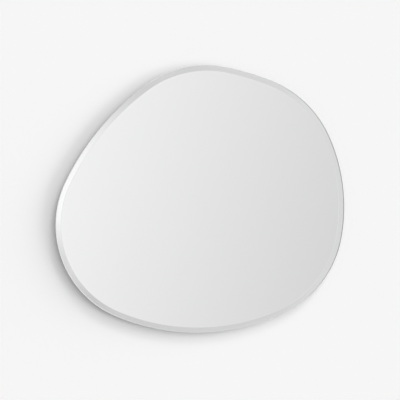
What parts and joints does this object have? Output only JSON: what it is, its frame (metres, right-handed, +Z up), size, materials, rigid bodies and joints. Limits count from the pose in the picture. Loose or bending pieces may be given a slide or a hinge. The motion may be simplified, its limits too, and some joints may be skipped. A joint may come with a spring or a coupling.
{
  "type": "wall mirror",
  "caption": "Frameless wall mirror with an irregular pebble outline and a wide bevelled edge, carried on a board back with hinged ring hangers and rubber bumpers.",
  "frame": {"origin": "on the wall plane, midway between the two points where the hanging rings bear on their hooks", "axes": "+X to the right as seen from the front, +Y from the glass towards the wall, +Z up; the mirror faces -Y"},
  "size_m": [0.7999, 0.0244, 0.7409],
  "materials": {
    "clear_glass": "polished clear float glass",
    "silver": "silvered, full reflection",
    "mirror_paint": "matt grey protective paint",
    "safety_film": "woven-look polyethylene film",
    "foam_tape": "closed-cell foam",
    "adhesive": "cured sealant",
    "fibreboard": "bare medium-density fibreboard",
    "zinc_strap": "zinc-plated sheet",
    "ring_wire": "zinc-plated wire",
    "screw_steel": "zinc-plated",
    "bumper_rubber": "matt moulded",
    "washer_steel": "zinc-plated"
  },
  "bodies": {
    "mirror": {"mirror_glass": "clear_glass", "silver_coating": "silver", "backing_paint": "mirror_paint", "safety_film": "safety_film", "foam_tape_1": "foam_tape", "foam_tape_2": "foam_tape", "foam_tape_3": "foam_tape", "foam_tape_4": "foam_tape", "adhesive_bead_1": "adhesive", "adhesive_bead_2": "adhesive", "adhesive_bead_3": "adhesive", "backing_board": "fibreboard", "hanger_strap_left": "zinc_strap", "hanger_strap_right": "zinc_strap", "hanger_screws_left": "screw_steel", "hanger_screws_right": "screw_steel", "bumper_upper_right": "bumper_rubber", "bumper_upper_left": "bumper_rubber", "bumper_lower_left": "bumper_rubber", "bumper_lower_right": "bumper_rubber", "bumper_washers": "washer_steel", "bumper_screws": "screw_steel"},
    "ring_left": {"d_ring_left": "ring_wire"},
    "ring_right": {"d_ring_right": "ring_wire"}
  },
  "joints": [
    {"name": "ring_hinge_left", "type": "hinge", "parent": "mirror", "child": "ring_left", "pos_m": [-0.2, -0.0032, -0.0143], "axis": [-1, 0, 0], "range_deg": [-3.5, 178]},
    {"name": "ring_hinge_right", "type": "hinge", "parent": "mirror", "child": "ring_right", "pos_m": [0.2, -0.0032, -0.0143], "axis": [-1, 0, 0], "range_deg": [-3.5, 178]}
  ]
}
